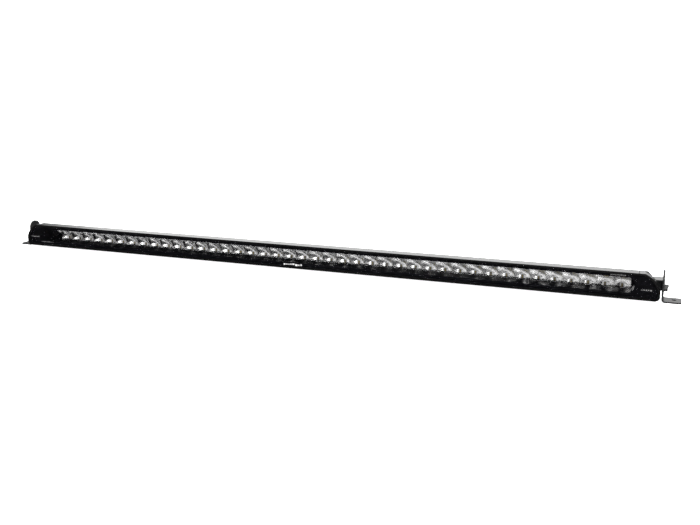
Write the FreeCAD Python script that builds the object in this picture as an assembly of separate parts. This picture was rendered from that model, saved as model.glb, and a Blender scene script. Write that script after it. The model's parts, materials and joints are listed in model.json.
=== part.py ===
"""Slim single-row LED light bar with two tilting end brackets.

Millimetres. X runs along the bar, the light leaves towards -Y, and Z is up from
the undersides of the bracket feet. Inside this script every lamp piece is drawn
with Y measured back from the front rim and Z measured up from the lamp's
underside; save() moves all of it into the part's frame.
"""

import FreeCAD, Part
import math
import os

V = FreeCAD.Vector
X_AXIS, Y_AXIS, Z_AXIS = V(1, 0, 0), V(0, 1, 0), V(0, 0, 1)

# --- Light cells: they set the length of everything ---
CELL_PITCH = 25.0
CELLS_PER_MODULE = 6
MODULES = 7
WINDOW_END_GAP = 5.0        # window beyond the outermost cell
PROFILE_END_GAP = 5.0       # housing profile beyond the window
CAP_LENGTH = 31.0           # end cap beyond the profile

# --- Lamp section, seen from the end ---
LAMP_HEIGHT = 40.0
TOP_FLAT = 20.0             # depth of the level part of the top
TOP_SLOPE = 14.5            # degrees, behind the level part
CAVITY_DEPTH = 56.5
BACK_WALL = 2.4
FIN_REACH = 8.0
FIN_COUNT = 6
FIN_THICK = 1.6
FIN_CLEAR = 1.2             # lowest fin above the underside
WALL = 2.2
LEDGE_REACH = 2.4           # ledges that the window bezel seats on
LEDGE_THICK = 1.8

# --- End outline, seen from the front ---
CORNER_RUN = 22.5           # slanted upper corner, along X
CORNER_DROP = 23.0          # and along Z
CORNER_BULGE = 3.3          # how far its arc stands out of the chord
LOWER_CORNER_R = 7.5
TAPER_START = 13.0          # depth where the caps' ends start to lean inwards
TAPER = 12.0                # degrees, in plan

# --- Front lens, gasket and window bezel ---
LENS_RECESS = 0.3
LENS_THICK = 3.0
LENS_INSET = 3.3            # lens edge inside the lamp's outline
LENS_BEVEL = 0.4
SEAT_GAP = 0.1              # general assembly gap
BEZEL_THICK = 1.5
WINDOW_BOTTOM = 9.0
WINDOW_TOP_GAP = 8.0        # window's upper edge below the lamp's top
WINDOW_CORNER_R = 10.0

# --- Reflector cells ---
MOUTH_Y = 30.0              # plane of the cup mouths
FOCAL = 5.0                 # paraboloid focal length
CUP_VERTEX_GAP = 0.6        # paraboloid vertex behind the cup's rear opening
CUP_AXIS_Z = 8.0           # low, so that each cup is the upper part of a bowl
CUP_BOTTOM_Z = 5.4
CUP_WALL = 1.2
CUP_BANDS = 5               # conical bands that make up each cup
ROOF_GAP = 0.2              # cups below the housing's top
FACE_THICK = 1.2            # plate that joins the cups
FACE_MARGIN = 1.3           # plate beyond the window, above and below
MODULE_GAP = 0.2            # between neighbouring modules
SLOT_FRONT, SLOT_BACK = 40.5, 46.5  # slots in the cups' floor, along Y
MAIN_SLOT = 18.8
SMALL_SLOT = 2.6

# --- LED boards ---
BOARD_THICK = 1.6
BOARD_LOW = 4.5
BOARD_ROOF_GAP = 0.5
BOARD_SCREW_Z = 20.0
PAD_THICK = 0.4
LED_SIZE = 3.45
LED_BASE = 0.6
LED_DOME_R = 1.4
BOARD_SCREW_R = 1.25
BOARD_SCREW_HEAD_R = 2.2
BOARD_SCREW_HEAD = 1.5
BOARD_SCREW_DEPTH = 2.0     # into the back wall
BOARD_SCREW_CELLS = 2       # cells from a module's middle to its screws
LINK_SIZE = (8.0, 2.2, 3.0)
LINK_Z = 13.0

# --- Driver ---
DRIVER_LENGTH = 170.0
DRIVER_DEPTH = 17.4
DRIVER_FRONT_Y = 12.0
DRIVER_PAD = 1.0
DRIVER_END_GAP = 32.0       # from the profile's end to the driver board
INDUCTOR_R, INDUCTOR_TALL = 3.2, 2.4
INDUCTOR_COUNT, INDUCTOR_STEP = 3, 18.0
CAPACITOR_R, CAPACITOR_LONG = 1.2, 7.0
CAPACITOR_COUNT, CAPACITOR_STEP = 3, 16.0
TALL_ROW_Y = 26.0           # middle of the inductors and capacitors
TRANSISTOR_SIZE = (6.5, 6.1, 2.0)
TRANSISTOR_COUNT, TRANSISTOR_STEP = 6, 24.0
TRANSISTOR_Y = 15.5
CONNECTOR_SIZE = (8.0, 9.0, 2.4)
CONNECTOR_Y = 22.0
LEAD_R = 0.8
LEAD_SPACING = 1.9
LEAD_STRAIGHT = 12.0        # straight run beside a connector
LEAD_BEND = 24.0            # along X to where the output leads turn back
LEAD_RISE_Y = 2.2           # in front of the boards, where those leads rise
LEAD_TURN_Y = 38.0          # depth where the supply leads turn down
LEAD_DIP_Y = 22.5           # depth where the output leads pass under the cups
LEAD_DROP_X, LEAD_DROP_Y = 6.0, 5.0  # where the supply leads come down
CONNECTOR_EDGE = 1.0        # connector inside the board's edge
INDUCTOR_START = 30.0       # first part of each row, from the board's end
CAPACITOR_START = 90.0
TRANSISTOR_START = 22.0
INDUCTOR_CHAMFER = 0.5
LEAD_TRIM = 0.45            # share of the shorter run that a bend takes

# --- End caps, gaskets and screws ---
GASKET_THICK = 0.8
COVER_PLATE = 3.0           # plate of the cap over the fins' ends
SCREW_R = 1.5
SCREW_HEAD_R = 2.75
SCREW_HEAD = 2.0
SCREW_SOCKET = 2.5
SCREW_GRIP = 12.0           # screw length in the profile
PORT_R = 2.4                # outside of a screw port
PORT_ROOT = 0.6             # a port's foot sinks this far into what it stands on
PORT_GAP = 0.05             # between a screw and its port
FRONT_PORT = (11.0, 4.6)    # Y, Z of the port under the window tunnel
REAR_PORT_FINS = (1, 4)     # fins that carry the rear screw ports

# --- Mounting boss, bolts and brackets ---
LAMP_LIFT = 4.5             # lamp underside above the feet
BRACKET_GAP = 2.4           # bracket plate beyond the lamp's end
BRACKET_THICK = 2.5
BRACKET_WIDTH = 26.0
BRACKET_Y = 26.0            # middle of the bracket's width
BRACKET_TOP_Z = 42.0
BEND_R = 2.5                # inside radius of the bend
FOOT_REACH = 27.7           # from the plate's inner face
FOOT_CORNER_R = 4.5
FOOT_HOLE_R = 3.5
FOOT_HOLE_REACH = 14.8      # from the plate's outer face
RUNNING_GAP = 0.1           # between parts that turn on each other
BOSS_WIDTH = 22.0
BOSS_LOW, BOSS_HIGH = 13.0, 29.0
BOSS_EDGE_R = 1.0
PIVOT_Y, PIVOT_Z = 29.5, 20.0
PIVOT_R = 3.0
PIVOT_HEAD_R, PIVOT_HEAD = 5.0, 4.4
PIVOT_WASHER_R, PIVOT_WASHER = 5.5, 1.0
SPRING_WASHER_R, SPRING_WASHER = 4.9, 1.3
SPRING_SPLIT = 1.0
PIVOT_SOCKET = 5.0          # hexagon across flats
PIVOT_GRIP = 11.0           # bolt length inside the boss
LOCK_DY, LOCK_DZ = -9.2, -4.5
LOCK_R = 2.5
LOCK_HEAD_R, LOCK_HEAD = 4.0, 4.0
LOCK_WASHER_R, LOCK_WASHER = 4.4, 1.0
LOCK_SOCKET = 4.0
LOCK_GRIP = 8.0
HEAD_CHAMFER = 0.1          # of a bolt head's radius
SOCKET_START = 0.45         # of a bolt head's height
TILT_LIMIT = 20.0           # degrees each way

# --- Cable gland and breather vent, on the rears of the end caps ---
GLAND_SIDE_GAP = 1.0        # between the gland and the fins' cover plate
GLAND_THREAD_R = 6.0
GLAND_FLATS = 14.0
GLAND_COLLAR = 3.5
GLAND_REACH = 15.0          # behind the cap
GLAND_NUT_R = 6.9
GLAND_NUT_ROUND = 2.5
GLAND_GRIP = 0.5            # share of the nut's length that is hexagonal
GLAND_SNOUT_PAST = 2.0      # threaded snout beyond the start of the seal
GLAND_LOCKNUT = 3.0
LOCKNUT_FLATS = 13.2
CABLE_R = 3.5
CABLE_GAP = 0.5             # round the cable, in the gland's body
NUT_CABLE_GAP = 0.3         # and in its nut
SEAL_R, SEAL_LONG = 5.0, 7.0
SEAL_START = 4.0            # behind the cap
VENT_THREAD_R = 4.0
VENT_FLATS = 12.0
VENT_COLLAR = 2.0
VENT_CAP_R, VENT_CAP = 5.5, 3.5
VENT_TAIL = 4.0
VENT_CHAMFER = 0.8
VENT_SLOT_START, VENT_SLOT = 0.8, 1.0   # slot across the vent's cap
VENT_SLOT_HALF = 1.0

# --- Worked out from the sizes above ---
HALF_CELLS = CELL_PITCH * CELLS_PER_MODULE * MODULES / 2
HALF_WINDOW = HALF_CELLS + WINDOW_END_GAP
HALF_PROFILE = HALF_WINDOW + PROFILE_END_GAP
HALF_LAMP = HALF_PROFILE + CAP_LENGTH
MODULE_LENGTH = CELL_PITCH * CELLS_PER_MODULE
SLOPE = math.tan(math.radians(TOP_SLOPE))
WALL_RISE = WALL / math.cos(math.radians(TOP_SLOPE))
BODY_DEPTH = CAVITY_DEPTH + BACK_WALL
REAR_Y = BODY_DEPTH + FIN_REACH
LENS_BACK = LENS_RECESS + LENS_THICK
FLANGE_FRONT = LENS_BACK + SEAT_GAP
FLANGE_BACK = FLANGE_FRONT + BEZEL_THICK
TUNNEL_BACK = MOUTH_Y - SEAT_GAP
WINDOW_TOP = LAMP_HEIGHT - WINDOW_TOP_GAP
BOARD_HIGH = LAMP_HEIGHT - (CAVITY_DEPTH - TOP_FLAT) * SLOPE - WALL_RISE - BOARD_ROOF_GAP
BOARD_FRONT = CAVITY_DEPTH - PAD_THICK - BOARD_THICK
CUP_REAR = BOARD_FRONT - SEAT_GAP
CUP_VERTEX = CUP_REAR + CUP_VERTEX_GAP
GASKET_OUT = HALF_PROFILE + GASKET_THICK
COVER_OUT = GASKET_OUT + COVER_PLATE
GLAND_X = COVER_OUT + GLAND_FLATS / 2 + GLAND_SIDE_GAP
FIN_TOP = LAMP_HEIGHT - (REAR_Y - TOP_FLAT) * SLOPE - FIN_THICK
FIN_STEP = (FIN_TOP - FIN_CLEAR) / (FIN_COUNT - 1)
PORTS_MIDDLE = FIN_CLEAR + FIN_STEP * sum(REAR_PORT_FINS) / 2 + FIN_THICK / 2
GLAND_Z = round(2 * PORTS_MIDDLE) / 2    # between the rear screws, to half a millimetre
TAPER_RATE = math.tan(math.radians(TAPER))
PLATE_IN = HALF_LAMP + BRACKET_GAP
PLATE_OUT = PLATE_IN + BRACKET_THICK
FOOT_TIP = PLATE_IN + FOOT_REACH
FOOT_HOLE_X = PLATE_OUT + FOOT_HOLE_REACH
BOSS_OUT = PLATE_IN - RUNNING_GAP
LOCK_Y, LOCK_Z = PIVOT_Y + LOCK_DY, PIVOT_Z + LOCK_DZ
LOCK_ARM = math.hypot(LOCK_DY, LOCK_DZ)
GLAND_REAR = BODY_DEPTH + GLAND_REACH
TOTAL_DEPTH = max(GLAND_REAR, REAR_Y)
DRIVER_START = -HALF_PROFILE + DRIVER_END_GAP
DRIVER_TOP = WALL + DRIVER_PAD + BOARD_THICK
MARGIN = 5.0                # how far cutting tools run past what they cut
TINY = 0.01                 # tolerance for finding an edge by its place
ALONG = 0.9                 # an edge this far along an axis counts as parallel


# ---------- helpers ----------

def box(x0, x1, y0, y1, z0, z1):
    return Part.makeBox(x1 - x0, y1 - y0, z1 - z0, V(x0, y0, z0))


def rod(radius, start, length, axis):
    return Part.makeCylinder(radius, length, V(*start), axis)


def tube(outer, inner, start, length, axis):
    return rod(outer, start, length, axis).cut(rod(inner, start, length, axis))


def hexagon(flats, start, length, axis):
    """A hexagonal prism, given its width across flats."""
    corner = flats / math.sqrt(3)
    side = Z_AXIS.cross(axis).normalize()
    up = axis.cross(side)
    points = []
    for k in range(7):
        a = math.radians(60 * k)
        points.append(V(*start) + side * (corner * math.sin(a)) + up * (corner * math.cos(a)))
    return Part.Face(Part.makePolygon(points)).extrude(axis * length)


def prism_yz(points, x0, x1):
    """Extrude a polygon of (y, z) points along X."""
    corners = [V(x0, y, z) for y, z in points]
    return Part.Face(Part.makePolygon(corners + corners[:1])).extrude(V(x1 - x0, 0, 0))


def mirrored(shape):
    """The left-hand copy of a right-hand piece."""
    return shape.mirror(V(0, 0, 0), X_AXIS)


def save(name, solids):
    """Move a sub-part into the part's frame and write its STEP file."""
    parts = solids if isinstance(solids, list) else [solids]
    shape = parts[0] if len(parts) == 1 else Part.makeCompound(parts)
    shape = shape.copy()
    shape.translate(V(0, -TOTAL_DEPTH / 2, LAMP_LIFT))
    if len(shape.Solids) == 1:
        shape = shape.Solids[0]
    shape.exportStep("parts/" + name + ".step")
    print(name, len(shape.Solids), "valid" if shape.isValid() else "NOT VALID", round(shape.Volume, 1))


# ---------- outlines ----------

def roof_z(y, drop=0.0):
    """Height of the lamp's top at depth y, lowered by drop."""
    return LAMP_HEIGHT - drop - max(0.0, y - TOP_FLAT) * SLOPE


def section(rear, x0, x1):
    """Solid lamp section from the front rim back to the plane y = rear."""
    points = [(0, 0), (0, LAMP_HEIGHT), (TOP_FLAT, LAMP_HEIGHT), (rear, roof_z(rear)), (rear, 0)]
    return prism_yz(points, x0, x1)


def cavity(x0, x1):
    """Space inside the walls, open at the front."""
    knee = TOP_FLAT - (WALL_RISE - WALL) / SLOPE
    top = LAMP_HEIGHT - WALL
    back_top = roof_z(CAVITY_DEPTH, WALL_RISE)
    points = [(-MARGIN, WALL), (-MARGIN, top), (knee, top), (CAVITY_DEPTH, back_top), (CAVITY_DEPTH, WALL)]
    return prism_yz(points, x0, x1)


def face_outline(inset=0.0):
    """Front outline of the lamp as a face in the plane y = 0, drawn inset from the edge."""
    right, top = HALF_LAMP - inset, LAMP_HEIGHT - inset
    r = LOWER_CORNER_R - inset
    half_turn = math.atan2(CORNER_DROP, CORNER_RUN) / 2
    run = CORNER_RUN - inset * math.tan(half_turn)
    drop = CORNER_DROP - inset * math.tan(math.pi / 4 - half_turn)
    chord = math.hypot(run, drop)
    start, end = (right, top - drop), (right - run, top)
    middle = ((start[0] + end[0]) / 2 + CORNER_BULGE * drop / chord,
              (start[1] + end[1]) / 2 + CORNER_BULGE * run / chord)
    half = r * math.sqrt(0.5)
    right_side = [(right - r, inset), (right - r + half, inset + r - half), (right, inset + r),
                  start, middle, end]
    left_side = [(-x, z) for x, z in right_side]

    def p(xz):
        return V(xz[0], 0, xz[1])

    edges = []
    for side in (right_side, left_side):
        edges.append(Part.Arc(p(side[0]), p(side[1]), p(side[2])).toShape())
        edges.append(Part.makeLine(p(side[2]), p(side[3])))
        edges.append(Part.Arc(p(side[3]), p(side[4]), p(side[5])).toShape())
    edges.append(Part.makeLine(p(right_side[5]), p(left_side[5])))
    edges.append(Part.makeLine(p(right_side[0]), p(left_side[0])))
    return Part.Face(Part.Wire(Part.__sortEdges__(edges)))


def plate(inset, y0, y1):
    """A plate with the lamp's front outline, inset from it, between two depths."""
    shape = face_outline(inset).extrude(V(0, y1 - y0, 0))
    shape.translate(V(0, y0, 0))
    return shape


def tapered(inset, y0, y1):
    """The same plate, whose right end leans inwards behind the front part."""
    rear = face_outline(inset).extrude(V((TAPER_START - y1) * TAPER_RATE, y1 - TAPER_START, 0))
    rear.translate(V(0, TAPER_START, 0))
    return plate(inset, y0, TAPER_START).fuse(rear).removeSplitter()


def window(grow, y0, y1):
    """The window's rounded opening, grown outwards, between two depths."""
    solid = box(-HALF_WINDOW - grow, HALF_WINDOW + grow, y0, y1, WINDOW_BOTTOM - grow, WINDOW_TOP + grow)
    ends = [e for e in solid.Edges if abs(e.tangentAt(e.FirstParameter).y) > ALONG]
    return solid.makeFillet(WINDOW_CORNER_R + grow, ends)


# ---------- housing and end caps ----------

def fin_heights():
    """Undersides of the horizontal cooling fins."""
    return [FIN_CLEAR + FIN_STEP * k for k in range(FIN_COUNT)]


def ledges(x0, x1):
    """Two ledges that hold the bezel's flange, on the floor and under the top."""
    y0, y1 = FLANGE_BACK, FLANGE_BACK + LEDGE_THICK
    low = box(x0, x1, y0, y1, WALL, WALL + LEDGE_REACH)
    high = box(x0, x1, y0, y1, LAMP_HEIGHT - WALL - LEDGE_REACH, LAMP_HEIGHT - WALL)
    return [low, high]


def port_places():
    """Y and Z of the front screw port and of the two on the fins."""
    fins = fin_heights()
    rear = [(BODY_DEPTH + FIN_REACH / 2, fins[k] + FIN_THICK / 2) for k in REAR_PORT_FINS]
    return [FRONT_PORT] + rear


def screw_port(y, z, x0, x1):
    """The outside of one screw port, standing on the floor or on the fin below it."""
    round_part = rod(PORT_R, (x0, y, z), x1 - x0, X_AXIS)
    return round_part.fuse(box(x0, x1, y - PORT_R, y + PORT_R, z - PORT_R - PORT_ROOT, z))


def port_holes():
    """Holes in both ends of every screw port."""
    holes = []
    for y, z in port_places():
        depth = SCREW_GRIP + SEAT_GAP
        holes.append(rod(SCREW_R + PORT_GAP, (HALF_PROFILE - depth, y, z), depth + MARGIN, X_AXIS))
        holes.append(rod(SCREW_R + PORT_GAP, (-HALF_PROFILE - MARGIN, y, z), depth + MARGIN, X_AXIS))
    return holes


def board_screw_places():
    """X of every LED board screw: two for each module, between cells."""
    places = []
    for k in range(MODULES):
        middle = -HALF_CELLS + (k + 0.5) * MODULE_LENGTH
        places += [middle - BOARD_SCREW_CELLS * CELL_PITCH, middle + BOARD_SCREW_CELLS * CELL_PITCH]
    return places


def housing():
    """Extruded aluminium profile with cooling fins and screw ports."""
    ends = (-HALF_PROFILE, HALF_PROFILE)
    body = section(BODY_DEPTH, *ends).cut(cavity(*ends))
    ribs = []
    for z in fin_heights():
        ribs.append(box(*ends, BODY_DEPTH - SEAT_GAP, REAR_Y, z, z + FIN_THICK))
    ports = [screw_port(y, z, *ends) for y, z in port_places()]
    walls = section(REAR_Y, *ends)
    extras = [shape.common(walls) for shape in ribs + ports]
    body = body.fuse(extras + ledges(*ends)).removeSplitter()
    cutters = port_holes()
    for x in board_screw_places():
        cutters.append(rod(BOARD_SCREW_R, (x, CAVITY_DEPTH, BOARD_SCREW_Z), BOARD_SCREW_DEPTH, Y_AXIS))
    return body.cut(cutters)


def boss():
    """Mounting boss of the right end cap, deep enough for both bolts."""
    inner = BOSS_OUT - PIVOT_GRIP - WALL
    half = BOSS_WIDTH / 2
    block = box(inner, BOSS_OUT, BRACKET_Y - half, BRACKET_Y + half, BOSS_LOW, BOSS_HIGH)
    edges = [e for e in block.Edges if abs(e.tangentAt(e.FirstParameter).x) > ALONG]
    return block.makeFillet(BOSS_EDGE_R, edges)


def end_cap():
    """Cast right end cap with its mounting boss; the gland or vent hole is cut later."""
    outline = tapered(0, 0, BODY_DEPTH)
    hollow = tapered(WALL, -MARGIN, CAVITY_DEPTH)
    shell = section(BODY_DEPTH, GASKET_OUT, HALF_LAMP + MARGIN).common(outline)
    space = cavity(GASKET_OUT - MARGIN, HALF_LAMP + MARGIN).common(hollow)
    y0, y1 = FLANGE_BACK, FLANGE_BACK + LEDGE_THICK
    ledge = plate(WALL, y0, y1).cut(plate(WALL + LEDGE_REACH, y0 - MARGIN, y1 + MARGIN))
    ledge = ledge.common(box(GASKET_OUT, HALF_LAMP, y0, y1, 0, LAMP_HEIGHT))
    cover = section(REAR_Y, GASKET_OUT, COVER_OUT)
    cover = cover.common(box(GASKET_OUT, COVER_OUT, BODY_DEPTH, REAR_Y, 0, LAMP_HEIGHT))
    column = rod(SCREW_HEAD_R + WALL, (GASKET_OUT, *FRONT_PORT), HALF_LAMP - GASKET_OUT, X_AXIS)
    column = column.common(shell)
    body = shell.cut(space).fuse([ledge, cover, column, boss()])
    return body.cut(cap_cutters()).removeSplitter()


def cap_cutters():
    """Screw holes, counterbore and the two threaded bolt holes of the right cap."""
    y, z = FRONT_PORT
    cutters = [rod(SCREW_HEAD_R + PORT_GAP, (COVER_OUT, y, z), CAP_LENGTH + MARGIN, X_AXIS)]
    start, length = GASKET_OUT - MARGIN, COVER_PLATE + 2 * MARGIN
    for y, z in port_places():
        cutters.append(rod(SCREW_R + PORT_GAP, (start, y, z), length, X_AXIS))
    pivot, lock = (BOSS_OUT - PIVOT_GRIP, PIVOT_Y, PIVOT_Z), (BOSS_OUT - LOCK_GRIP, LOCK_Y, LOCK_Z)
    cutters.append(rod(PIVOT_R + PORT_GAP, pivot, PIVOT_GRIP + MARGIN, X_AXIS))
    cutters.append(rod(LOCK_R + PORT_GAP, lock, LOCK_GRIP + MARGIN, X_AXIS))
    return cutters


def end_caps():
    """Both caps: the left one takes the cable gland and the right one the vent."""
    blank = end_cap()
    start = (GLAND_X, CAVITY_DEPTH - MARGIN, GLAND_Z)
    gland_hole = rod(GLAND_THREAD_R + PORT_GAP, start, 3 * MARGIN, Y_AXIS)
    vent_hole = rod(VENT_THREAD_R + PORT_GAP, start, 3 * MARGIN, Y_AXIS)
    save("end_cap_left", mirrored(blank.cut(gland_hole)))
    save("end_cap_right", blank.cut(vent_hole))


def cap_gasket():
    """Flat gasket between the profile and the right cap, with the profile's own section."""
    full = section(REAR_Y, HALF_PROFILE, GASKET_OUT)
    opening = cavity(HALF_PROFILE - MARGIN, GASKET_OUT + MARGIN)
    ring = full.cut(opening)
    ring = ring.fuse(screw_port(*FRONT_PORT, HALF_PROFILE, GASKET_OUT)).removeSplitter()
    for y, z in port_places():
        ring = ring.cut(rod(SCREW_R + PORT_GAP, (HALF_PROFILE - MARGIN, y, z), 2 * MARGIN, X_AXIS))
    return ring


def cap_screws():
    """Three screws that hold the right cap to the profile."""
    screws = []
    start = HALF_PROFILE - SCREW_GRIP
    for y, z in port_places():
        shank = rod(SCREW_R, (start, y, z), COVER_OUT - start, X_AXIS)
        head = rod(SCREW_HEAD_R, (COVER_OUT, y, z), SCREW_HEAD, X_AXIS)
        socket = hexagon(SCREW_SOCKET, (COVER_OUT + SCREW_HEAD / 2, y, z), SCREW_HEAD, X_AXIS)
        screws.append(shank.fuse(head).removeSplitter().cut(socket))
    return screws


# ---------- lens, gasket and bezel ----------

def front_lens():
    """Clear flat lens, bevelled round its front edge."""
    back = plate(LENS_INSET, LENS_RECESS + LENS_BEVEL, LENS_BACK)
    front = Part.makeLoft([face_at(LENS_INSET, LENS_RECESS + LENS_BEVEL).OuterWire,
                           face_at(LENS_INSET + LENS_BEVEL, LENS_RECESS).OuterWire], True)
    return back.fuse(front).removeSplitter()


def face_at(inset, y):
    face = face_outline(inset)
    face.translate(V(0, y, 0))
    return face


def lens_gasket():
    """Rubber ring between the lens edge and the rim."""
    outer = plate(WALL + SEAT_GAP, LENS_RECESS + LENS_BEVEL, LENS_BACK)
    return outer.cut(plate(LENS_INSET - SEAT_GAP / 2, -MARGIN, LENS_BACK + MARGIN))


def window_bezel():
    """Gloss black face behind the lens, with a tunnel back to the reflectors."""
    flange = plate(WALL + SEAT_GAP, FLANGE_FRONT, FLANGE_BACK)
    tunnel = window(BEZEL_THICK, FLANGE_FRONT, TUNNEL_BACK)
    return flange.fuse(tunnel).cut(window(0, -MARGIN, MOUTH_Y + MARGIN)).removeSplitter()


# ---------- light cells ----------

def cup_radius(y):
    """Inside radius of a cup at depth y."""
    return math.sqrt(4 * FOCAL * (CUP_VERTEX - y))


def cup_solid(wall):
    """Solid of one cup's inside (wall = 0) or outside, as conical bands about x = 0."""
    outline = [V(0, MOUTH_Y, 0)]
    for k in range(CUP_BANDS + 1):
        y = MOUTH_Y + (CUP_REAR - MOUTH_Y) * math.sin(math.pi / 2 * k / CUP_BANDS)
        outline.append(V(cup_radius(y) + wall, y, 0))
    outline.append(V(0, CUP_REAR, 0))
    face = Part.Face(Part.makePolygon(outline + outline[:1]))
    shape = face.revolve(V(0, 0, 0), Y_AXIS, 360)
    shape.translate(V(0, 0, CUP_AXIS_Z))
    half = CELL_PITCH / 2
    return shape.common(box(-half, half, MOUTH_Y, CUP_REAR, CUP_BOTTOM_Z - wall, WINDOW_TOP + wall))


def slot(x, width):
    """Opening in the cups' floor, centred on x."""
    low = CUP_BOTTOM_Z - 2 * CUP_WALL
    return box(x - width / 2, x + width / 2, SLOT_FRONT, SLOT_BACK, low, CUP_BOTTOM_Z)


def cell_places():
    """X of each cell's middle in a module centred on x = 0."""
    return [(k + 0.5) * CELL_PITCH - MODULE_LENGTH / 2 for k in range(CELLS_PER_MODULE)]


def reflector_cell():
    """One cup with its share of the front plate and its slotted floor."""
    half = CELL_PITCH / 2
    low, high = CUP_BOTTOM_Z - FACE_MARGIN, WINDOW_TOP + FACE_MARGIN
    face = box(-half, half, MOUTH_Y, MOUTH_Y + FACE_THICK, low, high)
    holes = [cup_solid(0), slot(0, MAIN_SLOT), slot(-half, SMALL_SLOT), slot(half, SMALL_SLOT)]
    return face.fuse(cup_solid(CUP_WALL)).cut(holes)


def reflector_module():
    """One moulded and metallised reflector with its row of cups."""
    cell = reflector_cell()
    cells = [moved(cell, x) for x in cell_places()]
    half = MODULE_LENGTH / 2 - MODULE_GAP / 2
    return cells[0].fuse(cells[1:]).removeSplitter().common(under_roof(-half, half))


def under_roof(x0, x1):
    """Space below the housing's top, less a gap, back to the cups' rears."""
    drop = WALL_RISE + ROOF_GAP
    points = [(0, 0), (0, LAMP_HEIGHT), (TOP_FLAT, roof_z(TOP_FLAT, drop)),
              (CUP_REAR, roof_z(CUP_REAR, drop)), (CUP_REAR, 0)]
    return prism_yz(points, x0, x1)


def moved(shape, x):
    copy = shape.copy()
    copy.translate(V(x, 0, 0))
    return copy


def led_board():
    """Aluminium-backed circuit board of one module, with its screw holes."""
    half = MODULE_LENGTH / 2 - MODULE_GAP
    board = box(-half, half, BOARD_FRONT, BOARD_FRONT + BOARD_THICK, BOARD_LOW, BOARD_HIGH)
    for side in (-1, 1):
        x = side * BOARD_SCREW_CELLS * CELL_PITCH
        board = board.cut(rod(BOARD_SCREW_R, (x, BOARD_FRONT - MARGIN, BOARD_SCREW_Z), 2 * MARGIN, Y_AXIS))
    return board


def led_emitters():
    """One emitter for each cell of a module: a square base with a clear dome."""
    half = LED_SIZE / 2
    low, high = CUP_AXIS_Z - half, CUP_AXIS_Z + half
    leds = []
    for x in cell_places():
        base = box(x - half, x + half, BOARD_FRONT - LED_BASE, BOARD_FRONT, low, high)
        ball = Part.makeSphere(LED_DOME_R, V(x, BOARD_FRONT - LED_BASE, CUP_AXIS_Z))
        front = box(x - half, x + half, BOARD_FRONT - LED_SIZE, BOARD_FRONT - LED_BASE / 2, low, high)
        leds.append(base.fuse(ball.common(front)).removeSplitter())
    return leds


def thermal_pad():
    """Thin pad between all the LED boards and the back wall."""
    half = HALF_CELLS - MODULE_GAP
    pad = box(-half, half, CAVITY_DEPTH - PAD_THICK, CAVITY_DEPTH, BOARD_LOW, BOARD_HIGH)
    holes = [rod(BOARD_SCREW_R, (x, CAVITY_DEPTH - MARGIN, BOARD_SCREW_Z), 2 * MARGIN, Y_AXIS)
             for x in board_screw_places()]
    return pad.cut(holes)


def led_board_screws():
    """Screws that clamp the boards to the back wall."""
    screws = []
    length = CAVITY_DEPTH + BOARD_SCREW_DEPTH - BOARD_FRONT
    for x in board_screw_places():
        shank = rod(BOARD_SCREW_R, (x, BOARD_FRONT, BOARD_SCREW_Z), length, Y_AXIS)
        top = (x, BOARD_FRONT - BOARD_SCREW_HEAD, BOARD_SCREW_Z)
        head = rod(BOARD_SCREW_HEAD_R, top, BOARD_SCREW_HEAD, Y_AXIS)
        screws.append(shank.fuse(head).removeSplitter())
    return screws


def board_link_connectors():
    """Small connectors that join each board to the next."""
    wide, deep, tall = LINK_SIZE
    links = []
    for k in range(1, MODULES):
        x = -HALF_CELLS + k * MODULE_LENGTH
        links.append(box(x - wide / 2, x + wide / 2, BOARD_FRONT - deep, BOARD_FRONT,
                         LINK_Z - tall / 2, LINK_Z + tall / 2))
    return links


# ---------- driver ----------

def driver_plate(low, high):
    """A plate with the driver board's outline, between two heights."""
    return box(DRIVER_START, DRIVER_START + DRIVER_LENGTH,
               DRIVER_FRONT_Y + PORT_R, DRIVER_FRONT_Y + DRIVER_DEPTH, low, high)


def driver_board():
    return driver_plate(WALL + DRIVER_PAD, DRIVER_TOP)


def driver_pad():
    """Thermal pad between the driver board and the housing's floor."""
    return driver_plate(WALL, WALL + DRIVER_PAD)


def driver_row(count, step, start):
    """X of the parts in one row on the driver board."""
    return [DRIVER_START + start + step * k for k in range(count)]


def driver_inductors():
    """Shielded inductors with chamfered tops."""
    parts = []
    for x in driver_row(INDUCTOR_COUNT, INDUCTOR_STEP, INDUCTOR_START):
        body = rod(INDUCTOR_R, (x, TALL_ROW_Y, DRIVER_TOP), INDUCTOR_TALL, Z_AXIS)
        parts.append(body.makeChamfer(INDUCTOR_CHAMFER, [body.Edges[0]]))
    return parts


def driver_capacitors():
    """Electrolytic capacitors lying along the board."""
    parts = []
    for x in driver_row(CAPACITOR_COUNT, CAPACITOR_STEP, CAPACITOR_START):
        start = (x, TALL_ROW_Y, DRIVER_TOP + CAPACITOR_R)
        parts.append(rod(CAPACITOR_R, start, CAPACITOR_LONG, X_AXIS))
    return parts


def driver_transistors():
    wide, deep, tall = TRANSISTOR_SIZE
    parts = []
    for x in driver_row(TRANSISTOR_COUNT, TRANSISTOR_STEP, TRANSISTOR_START):
        parts.append(box(x, x + wide, TRANSISTOR_Y, TRANSISTOR_Y + deep,
                         DRIVER_TOP, DRIVER_TOP + tall))
    return parts


def driver_connectors():
    """Supply connector at the driver's outer end and lamp connector at its inner end."""
    wide, deep, tall = CONNECTOR_SIZE
    outer = DRIVER_START + CONNECTOR_EDGE
    inner = DRIVER_START + DRIVER_LENGTH - wide - CONNECTOR_EDGE
    parts = []
    for x in (outer, inner):
        parts.append(box(x, x + wide, CONNECTOR_Y - deep / 2, CONNECTOR_Y + deep / 2,
                         DRIVER_TOP, DRIVER_TOP + tall))
    return parts


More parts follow.
